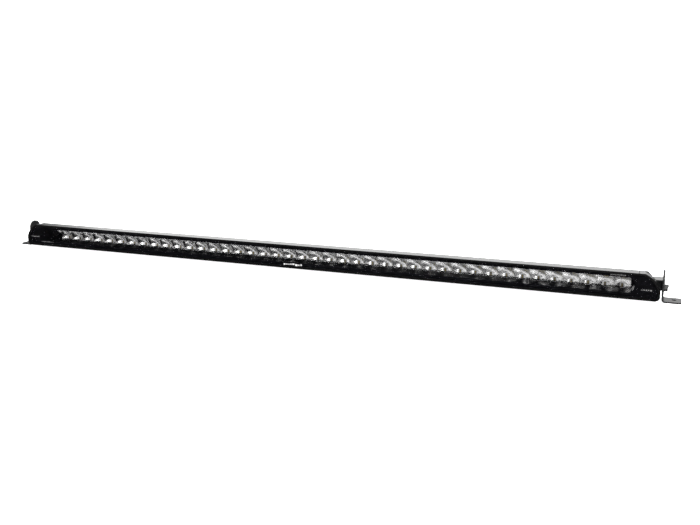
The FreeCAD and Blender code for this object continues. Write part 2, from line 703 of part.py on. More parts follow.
def lead(points):
    """A round lead: straight runs joined by tangent arcs."""
    nodes = [V(*p) for p in points]
    edges = []
    last = nodes[0]
    for before, corner, after in zip(nodes, nodes[1:], nodes[2:]):
        way_in, way_out = (corner - before), (after - corner)
        trim = LEAD_TRIM * min(way_in.Length, way_out.Length)
        way_in.normalize()
        way_out.normalize()
        start, end = corner - way_in * trim, corner + way_out * trim
        radius = trim / math.tan(way_in.getAngle(way_out) / 2)
        inward = (way_out - way_in).normalize()
        centre = corner + inward * math.hypot(trim, radius)
        edges.append(Part.makeLine(last, start))
        edges.append(Part.Arc(start, centre - inward * radius, end).toShape())
        last = end
    edges.append(Part.makeLine(last, nodes[-1]))
    path = Part.Wire(edges)
    ring = Part.Wire(Part.makeCircle(LEAD_R, nodes[0], nodes[1] - nodes[0]))
    return path.makePipeShell([ring], True, False)


def supply_leads():
    """Two leads from the cable gland to the driver's supply connector."""
    end_x = DRIVER_START + CONNECTOR_EDGE
    z_low = DRIVER_TOP + LEAD_R + SEAT_GAP
    leads = []
    for side in (-1, 1):
        shift = side * LEAD_SPACING / 2
        start = (-GLAND_X + shift, CAVITY_DEPTH - GLAND_LOCKNUT, GLAND_Z)
        leads.append(lead([start,
                           (-GLAND_X + shift, LEAD_TURN_Y + shift, GLAND_Z),
                           (-GLAND_X + LEAD_DROP_X, LEAD_TURN_Y - LEAD_DROP_Y + shift, z_low + LEAD_R),
                           (end_x - LEAD_STRAIGHT, CONNECTOR_Y + shift, z_low),
                           (end_x, CONNECTOR_Y + shift, z_low)]))
    return leads


def output_leads():
    """Two leads from the driver up to the first LED boards."""
    start_x = DRIVER_START + DRIVER_LENGTH - CONNECTOR_EDGE
    cells_past = math.ceil((start_x + LEAD_BEND + HALF_CELLS) / CELL_PITCH)
    rise_x = -HALF_CELLS + cells_past * CELL_PITCH
    z_low = DRIVER_TOP + LEAD_R + SEAT_GAP
    z_floor = WALL + LEAD_R + SEAT_GAP
    leads = []
    for side in (-1, 1):
        shift = side * LEAD_SPACING / 2
        leads.append(lead([(start_x, CONNECTOR_Y + shift, z_low),
                           (start_x + LEAD_STRAIGHT, CONNECTOR_Y + shift, z_low),
                           (start_x + LEAD_BEND, LEAD_DIP_Y + shift, z_floor),
                           (rise_x + shift, BOARD_FRONT - LEAD_RISE_Y, z_floor),
                           (rise_x + shift, BOARD_FRONT - 2 * LEAD_R, BOARD_LOW + 4 * LEAD_R)]))
    return leads


# ---------- gland and vent ----------

def gland_body():
    """Threaded sleeve with a hexagonal collar and a threaded snout."""
    sleeve = rod(GLAND_THREAD_R, gland_at(CAVITY_DEPTH - GLAND_LOCKNUT),
                 GLAND_LOCKNUT + BACK_WALL + SEAT_GAP, Y_AXIS)
    collar = hexagon(GLAND_FLATS, gland_at(BODY_DEPTH), GLAND_COLLAR, Y_AXIS)
    snout = rod(GLAND_THREAD_R, gland_at(BODY_DEPTH + GLAND_COLLAR), snout_length(), Y_AXIS)
    body = sleeve.fuse([collar, snout]).removeSplitter()
    hole = rod(CABLE_R + CABLE_GAP, gland_at(0), TOTAL_DEPTH, Y_AXIS)
    pocket = rod(SEAL_R, gland_at(BODY_DEPTH + SEAL_START), SEAL_LONG + MARGIN, Y_AXIS)
    return body.cut([hole, pocket])


def gland_at(y):
    """Point of the gland's axis at depth y."""
    return (-GLAND_X, y, GLAND_Z)


def snout_length():
    return SEAL_START + GLAND_SNOUT_PAST - GLAND_COLLAR


def gland_seal():
    return tube(SEAL_R - PORT_GAP, CABLE_R, gland_at(BODY_DEPTH + SEAL_START), SEAL_LONG, Y_AXIS)


def gland_nut():
    """Dome nut that squeezes the seal onto the cable."""
    y0 = BODY_DEPTH + GLAND_COLLAR + SEAT_GAP
    length = GLAND_REAR - y0
    grip = hexagon(GLAND_FLATS, gland_at(y0), length * GLAND_GRIP, Y_AXIS)
    dome = rod(GLAND_NUT_R, gland_at(y0), length, Y_AXIS)
    edge = [e for e in dome.Edges if abs(e.CenterOfMass.y - GLAND_REAR) < TINY]
    dome = dome.makeFillet(GLAND_NUT_ROUND, edge)
    bore = rod(GLAND_THREAD_R + PORT_GAP, gland_at(y0), snout_length(), Y_AXIS)
    seat_back = BODY_DEPTH + SEAL_START + SEAL_LONG + SEAT_GAP
    seat = rod(SEAL_R, gland_at(y0), seat_back - y0, Y_AXIS)
    hole = rod(CABLE_R + NUT_CABLE_GAP, gland_at(y0), length + MARGIN, Y_AXIS)
    return grip.fuse(dome).removeSplitter().cut([bore, seat, hole])


def gland_locknut():
    start = gland_at(CAVITY_DEPTH - GLAND_LOCKNUT)
    nut = hexagon(LOCKNUT_FLATS, start, GLAND_LOCKNUT, Y_AXIS)
    return nut.cut(rod(GLAND_THREAD_R + PORT_GAP, start, GLAND_LOCKNUT, Y_AXIS))


def breather_vent():
    """Pressure-balancing vent with a hexagonal collar and a slotted cap."""
    x, front = GLAND_X, BODY_DEPTH + VENT_COLLAR
    start = (x, CAVITY_DEPTH - VENT_TAIL, GLAND_Z)
    tail = rod(VENT_THREAD_R, start, BACK_WALL + VENT_TAIL, Y_AXIS)
    collar = hexagon(VENT_FLATS, (x, BODY_DEPTH, GLAND_Z), VENT_COLLAR, Y_AXIS)
    cap = rod(VENT_CAP_R, (x, front, GLAND_Z), VENT_CAP, Y_AXIS)
    rim = [e for e in cap.Edges if abs(e.CenterOfMass.y - front - VENT_CAP) < TINY]
    cap = cap.makeChamfer(VENT_CHAMFER, rim)
    y = front + VENT_SLOT_START
    cut = box(x - 2 * VENT_CAP_R, x + 2 * VENT_CAP_R, y, y + VENT_SLOT,
              GLAND_Z - VENT_SLOT_HALF, GLAND_Z + VENT_SLOT_HALF)
    return tail.fuse([collar, cap]).removeSplitter().cut(cut)


# ---------- bolts and brackets, right-hand side ----------

def cap_bolt(radius, head_r, head, flats, y, z, grip, seat):
    """A socket-head bolt along X whose head seats on the plane x = seat."""
    start = BOSS_OUT - grip + SEAT_GAP
    shank = rod(radius, (start, y, z), seat - start, X_AXIS)
    top = rod(head_r, (seat, y, z), head, X_AXIS)
    rim = [e for e in top.Edges if abs(e.CenterOfMass.x - seat - head) < TINY]
    top = top.makeChamfer(head_r * HEAD_CHAMFER, rim)
    socket = hexagon(flats, (seat + head * SOCKET_START, y, z), head, X_AXIS)
    return shank.fuse(top).removeSplitter().cut(socket)


def pivot_seat():
    return PLATE_OUT + RUNNING_GAP


def pivot_bolt():
    seat = pivot_seat() + PIVOT_WASHER + SPRING_WASHER
    return cap_bolt(PIVOT_R, PIVOT_HEAD_R, PIVOT_HEAD, PIVOT_SOCKET, PIVOT_Y, PIVOT_Z,
                    PIVOT_GRIP, seat)


def pivot_washers():
    """A flat washer against the bracket and a split spring washer under the head."""
    x = pivot_seat()
    hole = PIVOT_R + PORT_GAP
    flat = tube(PIVOT_WASHER_R, hole, (x, PIVOT_Y, PIVOT_Z), PIVOT_WASHER, X_AXIS)
    spring = tube(SPRING_WASHER_R, hole, (x + PIVOT_WASHER, PIVOT_Y, PIVOT_Z), SPRING_WASHER, X_AXIS)
    split = box(x, x + 2 * MARGIN, PIVOT_Y, PIVOT_Y + 2 * SPRING_WASHER_R,
                PIVOT_Z - SPRING_SPLIT / 2, PIVOT_Z + SPRING_SPLIT / 2)
    return [flat, spring.cut(split)]


def lock_bolt():
    return cap_bolt(LOCK_R, LOCK_HEAD_R, LOCK_HEAD, LOCK_SOCKET, LOCK_Y, LOCK_Z, LOCK_GRIP,
                    pivot_seat() + LOCK_WASHER)


def lock_washer():
    return tube(LOCK_WASHER_R, LOCK_R + PORT_GAP, (pivot_seat(), LOCK_Y, LOCK_Z), LOCK_WASHER, X_AXIS)


def angle_slot():
    """Curved slot for the lock bolt, round the pivot."""
    middle = math.atan2(LOCK_DZ, LOCK_DY)
    r = LOCK_R + RUNNING_GAP
    x0, deep = PLATE_IN - MARGIN, BRACKET_THICK + 2 * MARGIN

    def at(angle, radius):
        return V(x0, PIVOT_Y + radius * math.cos(angle), PIVOT_Z + radius * math.sin(angle))

    limit = math.radians(TILT_LIMIT)
    a, b = middle - limit, middle + limit
    inner, outer = LOCK_ARM - r, LOCK_ARM + r
    edges = [Part.Arc(at(a, inner), at(middle, inner), at(b, inner)).toShape(),
             Part.makeLine(at(b, inner), at(b, outer)),
             Part.Arc(at(b, outer), at(middle, outer), at(a, outer)).toShape(),
             Part.makeLine(at(a, outer), at(a, inner))]
    slot = Part.Face(Part.Wire(edges)).extrude(V(deep, 0, 0))
    ends = [Part.makeCylinder(r, deep, at(angle, LOCK_ARM), X_AXIS) for angle in (a, b)]
    return slot.fuse(ends)


def bracket_blank():
    """Bent plate: a full-width L before its outlines are trimmed."""
    x0, x1, low = PLATE_IN, FOOT_TIP, -LAMP_LIFT
    y0 = BRACKET_Y - BRACKET_WIDTH / 2
    corner_r = BEND_R + BRACKET_THICK
    half = math.sqrt(0.5)
    cx, cz = x0 + corner_r, low + corner_r

    def p(x, z):
        return V(x, y0, z)

    edges = [Part.makeLine(p(x0, BRACKET_TOP_Z), p(x0, cz)),
             Part.Arc(p(x0, cz), p(cx - corner_r * half, cz - corner_r * half), p(cx, low)).toShape(),
             Part.makeLine(p(cx, low), p(x1, low)),
             Part.makeLine(p(x1, low), p(x1, low + BRACKET_THICK)),
             Part.makeLine(p(x1, low + BRACKET_THICK), p(cx, low + BRACKET_THICK)),
             Part.Arc(p(cx, low + BRACKET_THICK), p(cx - BEND_R * half, cz - BEND_R * half),
                      p(x0 + BRACKET_THICK, cz)).toShape(),
             Part.makeLine(p(x0 + BRACKET_THICK, cz), p(x0 + BRACKET_THICK, BRACKET_TOP_Z)),
             Part.makeLine(p(x0 + BRACKET_THICK, BRACKET_TOP_Z), p(x0, BRACKET_TOP_Z))]
    return Part.Face(Part.Wire(edges)).extrude(V(0, BRACKET_WIDTH, 0))


def bracket():
    """Right bracket: round-topped plate with pivot hole and angle slot, foot with one hole."""
    half = BRACKET_WIDTH / 2
    y0, y1 = BRACKET_Y - half, BRACKET_Y + half
    top_centre = BRACKET_TOP_Z - half
    low = -LAMP_LIFT
    stem = box(PLATE_IN, FOOT_TIP, y0, y1, low, top_centre)
    crown = rod(half, (PLATE_IN, BRACKET_Y, top_centre), BRACKET_THICK, X_AXIS)
    body = bracket_blank().common(stem.fuse(crown))
    tips = [e for e in body.Edges if abs(e.CenterOfMass.x - FOOT_TIP) < TINY
            and abs(e.tangentAt(e.FirstParameter).z) > ALONG]
    body = body.makeFillet(FOOT_CORNER_R, tips)
    through = BRACKET_THICK + 2 * MARGIN
    pivot = rod(PIVOT_R + RUNNING_GAP, (PLATE_IN - MARGIN, PIVOT_Y, PIVOT_Z), through, X_AXIS)
    foot = rod(FOOT_HOLE_R, (FOOT_HOLE_X, BRACKET_Y, low - MARGIN), through, Z_AXIS)
    return body.cut([pivot, angle_slot(), foot])


# ---------- write every sub-part ----------

def save_pair(name, right):
    """Save a right-hand piece and its mirrored left-hand copy."""
    pieces = right if isinstance(right, list) else [right]
    save(name + "_right", pieces)
    save(name + "_left", [mirrored(piece) for piece in pieces])


def save_modules():
    reflector, board, leds = reflector_module(), led_board(), led_emitters()
    for k in range(MODULES):
        x = -HALF_CELLS + (k + 0.5) * MODULE_LENGTH
        save("reflector_module_%d" % (k + 1), moved(reflector, x))
        save("led_board_%d" % (k + 1), moved(board, x))
        save("led_emitters_%d" % (k + 1), [moved(led, x) for led in leds])


def main():
    os.makedirs("parts", exist_ok=True)
    save("housing", housing())
    end_caps()
    save_pair("end_cap_gasket", cap_gasket())
    save_pair("end_cap_screws", cap_screws())
    save("front_lens", front_lens())
    save("lens_gasket", lens_gasket())
    save("window_bezel", window_bezel())
    save_modules()
    save("thermal_pad", thermal_pad())
    save("led_board_screws", led_board_screws())
    save("board_link_connectors", board_link_connectors())
    save("driver_board", driver_board())
    save("driver_pad", driver_pad())
    save("driver_inductors", driver_inductors())
    save("driver_capacitors", driver_capacitors())
    save("driver_transistors", driver_transistors())
    save("driver_connectors", driver_connectors())
    save("supply_leads", supply_leads())
    save("output_leads", output_leads())
    save("cable_gland_body", gland_body())
    save("cable_gland_seal", gland_seal())
    save("cable_gland_nut", gland_nut())
    save("cable_gland_locknut", gland_locknut())
    save("breather_vent", breather_vent())
    save_pair("pivot_bolt", pivot_bolt())
    save_pair("pivot_washers", pivot_washers())
    save_pair("lock_bolt", lock_bolt())
    save_pair("lock_washer", lock_washer())
    save_pair("bracket", bracket())


main()
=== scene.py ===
"""Looks of the slim LED light bar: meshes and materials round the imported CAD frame.

Metres, in the part's own frame: X along the bar, light towards -Y, Z up from the feet.
"""
import json
import math
import random

import bmesh
import bpy
from mathutils import Matrix, Vector

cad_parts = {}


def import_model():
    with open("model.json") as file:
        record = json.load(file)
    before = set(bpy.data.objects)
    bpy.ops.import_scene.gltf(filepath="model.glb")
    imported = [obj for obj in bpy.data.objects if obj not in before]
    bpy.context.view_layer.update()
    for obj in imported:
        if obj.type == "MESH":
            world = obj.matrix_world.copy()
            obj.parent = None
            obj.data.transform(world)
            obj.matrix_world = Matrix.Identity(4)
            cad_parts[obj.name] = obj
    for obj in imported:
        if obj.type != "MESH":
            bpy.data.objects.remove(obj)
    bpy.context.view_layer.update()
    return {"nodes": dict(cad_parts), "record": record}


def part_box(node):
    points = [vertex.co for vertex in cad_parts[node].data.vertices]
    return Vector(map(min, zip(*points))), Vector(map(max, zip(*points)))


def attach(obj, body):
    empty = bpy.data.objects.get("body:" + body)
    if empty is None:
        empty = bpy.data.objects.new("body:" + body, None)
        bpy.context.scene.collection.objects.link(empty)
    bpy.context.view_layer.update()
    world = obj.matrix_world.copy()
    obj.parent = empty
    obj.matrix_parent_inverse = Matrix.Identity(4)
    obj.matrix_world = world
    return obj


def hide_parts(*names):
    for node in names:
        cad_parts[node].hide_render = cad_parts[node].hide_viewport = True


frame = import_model()
NODES = frame["nodes"]

MM = 0.001
MODULES = 7
CELLS = 6

# --- Reflector cups, as the CAD's are but for a floor 1.2 mm higher ---
PITCH = 25.0 * MM
FOCAL = 5.0 * MM
VERTEX_GAP = 0.6 * MM        # paraboloid vertex behind the cup's rear opening
AXIS_ABOVE = 3.9 * MM        # cup axis above the module's lowest edge
FLOOR_ABOVE = 2.5 * MM       # cup floor above the module's lowest edge
FACE_MARGIN = 1.3 * MM       # face plate hidden behind the window's frame
SLOT_FRONT, SLOT_BACK = 10.5 * MM, 16.5 * MM   # floor slots, behind the mouth
MAIN_SLOT, SMALL_SLOT = 18.8 * MM, 2.6 * MM
WELD = 0.002 * MM            # vertices closer than this are merged
TINY = 1e-9                  # below this a sine or cosine counts as zero
SMOOTH_ANGLE = 30            # degrees; sharper edges stay sharp

# --- Cup meshing ---
CUP_TURNS = 64
CUP_RINGS = 14
WEB_STEPS = 8
FLOOR_STEPS = 16
SAME_ANGLE = 0.004           # radians; closer angles count as one
AT_TOP = 1e-6                # how near the cup's flat top a tip has to be

# --- LED packages ---
LED_HALF = 1.725 * MM
LED_BASE = 0.6 * MM
LED_BASE_EDGE = 0.1 * MM
PLATE_SIZE, PLATE_THICK = 1.5 * MM, 0.06 * MM
LED_DOME = 1.4 * MM
DOME_SKIRT = 1.08            # skirt radius, as a share of the dome's
DOME_SKIRT_TALL = 0.12 * MM
DOME_FLATTEN = 0.2 * MM      # the dome is this much lower than a half ball
DOME_TURNS, DOME_RINGS = 20, 8

# --- Rounded edges of pieces taken over from the CAD ---
EDGE_SEGMENTS = 2
EDGE_ANGLE = 40              # degrees; only edges sharper than this are rounded
SOFT_EDGES = {"housing": 0.25 * MM, "end_cap_left": 0.3 * MM, "end_cap_right": 0.7 * MM,
              "bracket_left": 0.25 * MM, "bracket_right": 0.25 * MM,
              "cable_gland_nut": 0.25 * MM, "cable_gland_body": 0.2 * MM, "breather_vent": 0.2 * MM,
              "pivot_bolt_left": 0.12 * MM, "pivot_bolt_right": 0.12 * MM,
              "lock_bolt_left": 0.12 * MM, "lock_bolt_right": 0.12 * MM}

# --- Printed marks on the lens: name, middle X and Z, width, height, tone ---
MARK_SEED = 7
MARK_OUT, MARK_IN = 0.06 * MM, 0.01 * MM   # in front of the lens, and sunk into it
DASH_WIDTH, DASH_LIFT = (0.5, 1.1), (-0.15, 0.15)   # all as shares of the row's height
DASH_HEIGHT, DASH_GAP = (0.35, 0.8), (0.25, 0.5)
MARK_ROWS = [("mark_middle", -11 * MM, 11.5 * MM, 34 * MM, 4.0 * MM, "mark_light"),
             ("mark_right_end", 547 * MM, 20.5 * MM, 15 * MM, 2.6 * MM, "mark_grey"),
             ("mark_left_end", -548 * MM, 21.5 * MM, 17 * MM, 2.6 * MM, "mark_grey"),
             ("mark_left_low", -520 * MM, 12.8 * MM, 28 * MM, 1.6 * MM, "mark_grey"),
             ("mark_right_high", 506 * MM, 39.8 * MM, 20 * MM, 1.6 * MM, "mark_grey")]

# --- Camera ---
CAMERA_PLACE = Vector((0.5299, -1.2207, 0.3339))
CAMERA_LENS = 40.94
SENSOR_WIDTH = 36.0
CLIP = (0.01, 100)
CAMERA_YAW, CAMERA_PITCH, CAMERA_ROLL = (math.radians(a) for a in (20.33, 13.81, -0.10))

# --- Stage and surroundings ---
FLOOR_SIZE, BACKDROP_RADIUS = 40, 18
FLOOR_GLOW, BACKDROP_GLOW = 1.0, 1.2
FRONT_LEVEL = 2.2            # surroundings in front of the bar
REAR_LEVEL, GAP_DROP, CARD_RISE = 0.75, 0.65, 1.2   # and behind it


# ---------- node helpers ----------

class Shader:
    """A material's node tree with short calls for what the materials below need."""

    def __init__(self, name):
        self.material = bpy.data.materials.new(name)
        self.material.use_nodes = True
        self.tree = self.material.node_tree
        self.bsdf = self.tree.nodes["Principled BSDF"]
        self.coords = self.tree.nodes.new("ShaderNodeTexCoord").outputs["Object"]

    def link(self, a, b):
        self.tree.links.new(a, b)

    def node(self, kind):
        return self.tree.nodes.new(kind)

    def surface(self, roughness=0.5, metallic=0.0, specular=0.5, ior=1.5):
        values = {"Roughness": roughness, "Metallic": metallic, "Specular IOR Level": specular,
                  "IOR": ior}
        for key, value in values.items():
            self.bsdf.inputs[key].default_value = value

    def stretched(self, stretch):
        """Object coordinates scaled by (x, y, z)."""
        mapping = self.node("ShaderNodeMapping")
        mapping.inputs["Scale"].default_value = stretch
        self.link(self.coords, mapping.inputs["Vector"])
        return mapping.outputs["Vector"]

    def noise(self, scale, detail=3.0, stretch=(1, 1, 1), rough=0.5):
        made = self.node("ShaderNodeTexNoise")
        made.inputs["Scale"].default_value = scale
        made.inputs["Detail"].default_value = detail
        made.inputs["Roughness"].default_value = rough
        self.link(self.stretched(stretch), made.inputs["Vector"])
        return made.outputs["Fac"]

    def ramp(self, fac, stops):
        """Colour ramp with (position, colour) stops."""
        made = self.node("ShaderNodeValToRGB")
        while len(made.color_ramp.elements) < len(stops):
            made.color_ramp.elements.new(0.5)
        for element, (position, colour) in zip(made.color_ramp.elements, stops):
            element.position = position
            element.color = (*colour, 1.0)
        self.link(fac, made.inputs["Fac"])
        return made.outputs["Color"]

    def span(self, fac, low, high):
        """Map 0..1 to low..high."""
        made = self.node("ShaderNodeMapRange")
        made.inputs["To Min"].default_value = low
        made.inputs["To Max"].default_value = high
        self.link(fac, made.inputs["Value"])
        return made.outputs["Result"]

    def bump(self, height, strength, distance):
        made = self.node("ShaderNodeBump")
        made.inputs["Strength"].default_value = strength
        made.inputs["Distance"].default_value = distance
        self.link(height, made.inputs["Height"])
        if self.bsdf.inputs["Normal"].links:
            self.link(self.bsdf.inputs["Normal"].links[0].from_socket, made.inputs["Normal"])
        self.link(made.outputs["Normal"], self.bsdf.inputs["Normal"])

    def colour(self, socket):
        self.link(socket, self.bsdf.inputs["Base Color"])

    def roughness(self, socket):
        self.link(socket, self.bsdf.inputs["Roughness"])


def grey(value):
    return (value, value, value)


# ---------- materials ----------

def anodised_black():
    """Semi-gloss black anodised extrusion with fine drawing lines along the bar."""
    s = Shader("anodised_black")
    s.surface(specular=0.4)
    cloud = s.noise(9.0, 4.0, (0.3, 1, 1))
    s.colour(s.ramp(cloud, [(0.3, (0.002, 0.002, 0.0022)), (0.7, (0.004, 0.004, 0.0042))]))
    lines = s.noise(700.0, 2.0, (0.01, 1, 1))
    s.roughness(s.span(s.noise(60.0, 3.0, (0.05, 1, 1)), 0.13, 0.2))
    s.bump(lines, 0.05, 0.0002)
    return s.material


def cast_black():
    """Semi-gloss black paint over a die casting."""
    s = Shader("cast_black")
    s.surface(specular=0.4)
    s.colour(s.ramp(s.noise(40.0), [(0.35, (0.002, 0.002, 0.0022)), (0.7, (0.004, 0.004, 0.0042))]))
    s.roughness(s.span(s.noise(180.0), 0.13, 0.2))
    s.bump(s.noise(1500.0, 2.0), 0.04, 0.0002)
    return s.material


def powder_black():
    """Black powder coat with its fine orange peel."""
    s = Shader("powder_black")
    s.surface(specular=0.3)
    s.colour(s.ramp(s.noise(80.0), [(0.35, (0.008, 0.008, 0.0085)), (0.7, (0.014, 0.014, 0.0145))]))
    s.roughness(s.span(s.noise(300.0), 0.3, 0.4))
    s.bump(s.noise(900.0, 2.0), 0.25, 0.0003)
    return s.material


def plain(name, dark, light, rough, specular=0.5):
    """Moulded or coated surface: a little colour variation and a fine grain."""
    s = Shader(name)
    s.surface(specular=specular)
    s.colour(s.ramp(s.noise(60.0), [(0.3, dark), (0.7, light)]))
    s.roughness(s.span(s.noise(180.0), rough * 0.85, rough * 1.15))
    s.bump(s.noise(1200.0, 2.0), 0.1, 0.0002)
    return s.material


def clear_lens():
    """Clear hard-coated lens, mostly see-through."""
    s = Shader("clear_lens")
    s.surface(0.03)
    s.bsdf.inputs["Alpha"].default_value = 0.1
    s.colour(s.ramp(s.noise(20.0), [(0.4, (0.004, 0.004, 0.005)), (0.6, (0.006, 0.006, 0.007))]))
    s.bump(s.noise(12.0, 1.0), 0.005, 0.0002)
    return s.material


def gloss_black():
    """Mirror-gloss black plastic of the window bezel."""
    s = Shader("gloss_black")
    s.surface(ior=1.12)
    s.colour(s.ramp(s.noise(15.0), [(0.3, (0.0015, 0.0015, 0.0018)), (0.7, (0.0025, 0.0025, 0.003))]))
    s.roughness(s.span(s.noise(90.0), 0.05, 0.11))
    s.bump(s.noise(60.0, 1.0), 0.03, 0.0003)
    return s.material


def metallised():
    """Vacuum-metallised plastic: a cool bright mirror with a faint waviness."""
    s = Shader("metallised")
    s.surface(metallic=1.0)
    s.colour(s.ramp(s.noise(50.0), [(0.3, (0.80, 0.80, 0.80)), (0.7, (0.87, 0.87, 0.87))]))
    s.roughness(s.span(s.noise(160.0), 0.15, 0.24))
    s.bump(s.noise(250.0, 2.0), 0.12, 0.0003)
    return s.material


def brushed(name, dark, light, rough):
    """Bare machined or rolled metal with fine turning marks."""
    s = Shader(name)
    s.surface(metallic=1.0)
    s.colour(s.ramp(s.noise(120.0), [(0.3, dark), (0.7, light)]))
    s.roughness(s.span(s.noise(400.0), rough * 0.7, rough * 1.3))
    s.bump(s.noise(900.0, 2.0, (4, 1, 1)), 0.1, 0.0002)
    return s.material


def make_materials():
    """One material for each of the record's slots."""
    rubber = plain("rubber", grey(0.001), grey(0.002), 0.5, specular=0.05)
    return {
        "anodised_housing": anodised_black(),
        "cast_cap": cast_black(),
        "gasket_rubber": rubber,
        "black_screw": brushed("black_oxide", grey(0.03), grey(0.05), 0.4),
        "lens_clear": clear_lens(),
        "gloss_bezel": gloss_black(),
        "thermal_pad": plain("thermal_pad", (0.28, 0.31, 0.36), (0.33, 0.36, 0.4), 0.8),
        "steel_screw": brushed("zinc_steel", grey(0.5), grey(0.62), 0.3),
        "connector_plastic": plain("connector_plastic", (0.75, 0.74, 0.7), (0.82, 0.81, 0.77), 0.5),
        "green_board": plain("green_board", (0.01, 0.09, 0.035), (0.015, 0.13, 0.05), 0.4),
        "ferrite": plain("ferrite", grey(0.05), grey(0.08), 0.55),
        "capacitor_can": brushed("capacitor_can", grey(0.55), grey(0.65), 0.35),
        "chip_black": plain("chip_black", grey(0.015), grey(0.025), 0.5),
        "lead_insulation": plain("lead_insulation", grey(0.006), grey(0.01), 0.5),
        "gland_plastic": plain("gland_nylon", grey(0.014), grey(0.022), 0.45),
        "metallised_reflector": metallised(),
        "white_board": plain("white_board", grey(0.68), grey(0.75), 0.4),
        "led_phosphor": plain("led_phosphor", (0.45, 0.36, 0.12), (0.55, 0.45, 0.16), 0.3),
        "led_base": plain("led_ceramic", grey(0.10), grey(0.14), 0.4),
        "led_dome": clear_lens(),
        "mark_light": plain("mark_light", grey(0.30), grey(0.40), 0.5),
        "mark_grey": plain("mark_grey", grey(0.06), grey(0.09), 0.5),
        "stainless": brushed("stainless", grey(0.55), grey(0.7), 0.25),
        "bracket_powder": powder_black(),
    }


def dress_nodes(materials):
    """Give every CAD node the material of its slot."""
    for part in frame["record"]["subparts"]:
        mesh = NODES[part["node"]].data
        mesh.materials.clear()
        mesh.materials.append(materials[part["material_slot"]])
    for node, width in SOFT_EDGES.items():
        edge = NODES[node].modifiers.new("edges", "BEVEL")
        edge.width, edge.segments = width, EDGE_SEGMENTS
        edge.limit_method, edge.angle_limit = "ANGLE", math.radians(EDGE_ANGLE)
        edge.harden_normals = True


# ---------- mesh helpers ----------

def add_object(name, mesh, body, slot):
    obj = bpy.data.objects.new(name, mesh)
    bpy.context.scene.collection.objects.link(obj)
    mesh.materials.append(MATERIALS[slot])
    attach(obj, body)
    return obj


def mesh_from(name, bm, smooth_angle=None):
    """Finish a bmesh: merge, face outwards, and shade smooth up to an angle."""
    bmesh.ops.remove_doubles(bm, verts=bm.verts, dist=WELD)
    bmesh.ops.recalc_face_normals(bm, faces=bm.faces)
    mesh = bpy.data.meshes.new(name)
    bm.to_mesh(mesh)
    bm.free()
    if smooth_angle:
        mesh.shade_smooth()
        mesh.set_sharp_from_angle(angle=math.radians(smooth_angle))
    return mesh


# ---------- reflectors ----------

def cup_depth(r):
    """How far a point of the paraboloid at radius r stands in front of its vertex."""
    return r * r / (4 * FOCAL)


def edge_reach(angle, below, above, mouth_r):
    """Distance from the cup's axis to its edge at an angle, seen from the front."""
    c, s = math.cos(angle), math.sin(angle)
    reach = mouth_r
    if abs(c) > TINY:
        reach = min(reach, PITCH / 2 / abs(c))
    if s > TINY:
        reach = min(reach, above / s)
    if s < -TINY:
        reach = min(reach, below / -s)
    return reach


def cup_angles(below, above, mouth_r):
    """Angles round a cup, with one at every corner of its outline."""
    half = PITCH / 2
    corners = [math.atan2(-below, half), math.acos(half / mouth_r),
               math.asin(min(1.0, above / mouth_r))]
    corners += [math.pi - a for a in corners]
    angles = [2 * math.pi * k / CUP_TURNS for k in range(CUP_TURNS)]
    angles = sorted(a % (2 * math.pi) for a in angles + corners)
    return [a for k, a in enumerate(angles) if k == 0 or a - angles[k - 1] > SAME_ANGLE]


def add_cup(bm, x, mouth_y, vertex, axis_z, below, above):
    """One mirrored cup: the upper part of a paraboloid, with a flat top out to the mouth."""
    r0 = math.sqrt(4 * FOCAL * VERTEX_GAP)
    mouth_r = math.sqrt(4 * FOCAL * (vertex - mouth_y))
    angles = cup_angles(below, above, mouth_r)
    rows, tops = [], []
    for a in angles:
        edge = edge_reach(a, below, above, mouth_r)
        start = min(r0, edge)
        row = []
        for k in range(CUP_RINGS + 1):
            r = start + (edge - start) * k / CUP_RINGS
            place = (x + r * math.cos(a), vertex - cup_depth(r), axis_z + r * math.sin(a))
            row.append(bm.verts.new(place))
        rows.append(row)
        tip = row[-1].co
        at_top = tip.z > axis_z + above - AT_TOP
        tops.append(bm.verts.new((tip.x, mouth_y, tip.z)) if at_top else None)
    for k, row in enumerate(rows):
        after = (k + 1) % len(rows)
        for j in range(CUP_RINGS):
            bm.faces.new((row[j], row[j + 1], rows[after][j + 1], rows[after][j]))
        if tops[k] and tops[after]:
            bm.faces.new((row[-1], tops[k], tops[after], rows[after][-1]))
    for side in (-1, 1):
        add_web(bm, x, side, mouth_y, axis_z, above, mouth_r)


def add_strip(bm, points_a, points_b):
    """A band of quads between two rows of points."""
    a = [bm.verts.new(p) for p in points_a]
    b = [bm.verts.new(p) for p in points_b]
    for k in range(len(a) - 1):
        bm.faces.new((a[k], a[k + 1], b[k + 1], b[k]))


def add_rect(bm, x0, x1, y, z0, z1):
    add_strip(bm, [(x0, y, z0), (x1, y, z0)], [(x0, y, z1), (x1, y, z1)])


def add_web(bm, x, side, mouth_y, axis_z, above, mouth_r):
    """Flat upper corner of the face, between a cup's mouth and the edge of its cell."""
    start = math.acos(PITCH / 2 / mouth_r)
    end = math.asin(min(1.0, above / mouth_r))
    arc, edge = [], []
    for k in range(WEB_STEPS + 1):
        a = start + (end - start) * k / WEB_STEPS
        z = axis_z + mouth_r * math.sin(a)
        arc.append((x + side * mouth_r * math.cos(a), mouth_y, z))
        edge.append((x + side * PITCH / 2, mouth_y, z))
    add_strip(bm, arc, edge)


